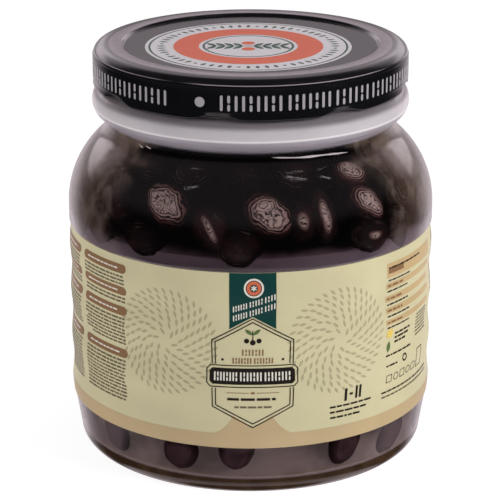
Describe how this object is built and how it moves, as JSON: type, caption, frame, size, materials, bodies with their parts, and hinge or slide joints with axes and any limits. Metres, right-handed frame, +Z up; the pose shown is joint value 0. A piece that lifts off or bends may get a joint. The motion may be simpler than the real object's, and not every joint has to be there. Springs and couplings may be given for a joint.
{
  "type": "jar of olives",
  "caption": "Wide clear jar packed with wrinkled black olives in brine, shut by a shallow black twist-off lid with a sunken top, and wrapped in a plain printed label.",
  "frame": {"origin": "middle of the flat ring that the jar stands on", "axes": "+Z up along the jar's axis, -Y towards the front of the label"},
  "size_m": [0.1314, 0.1314, 0.1478],
  "materials": {
    "jar_wall": "clear, smooth and glossy, thick and milky at the rounded neck bead",
    "lid_lacquer": "glossy black lacquer on pressed sheet steel, with a pale printed band of dots and bars and a round emblem on top",
    "label_film": "satin printed film in cream, with a dark green panel, a pointed frame and small bars in place of words",
    "olive_skin": "wet, wrinkled, near-black olive skin with a reddish-brown tint"
  },
  "bodies": {
    "root": {"jar": "jar_wall", "lid": "lid_lacquer", "label": "label_film", "olives": "olive_skin"}
  },
  "joints": []
}
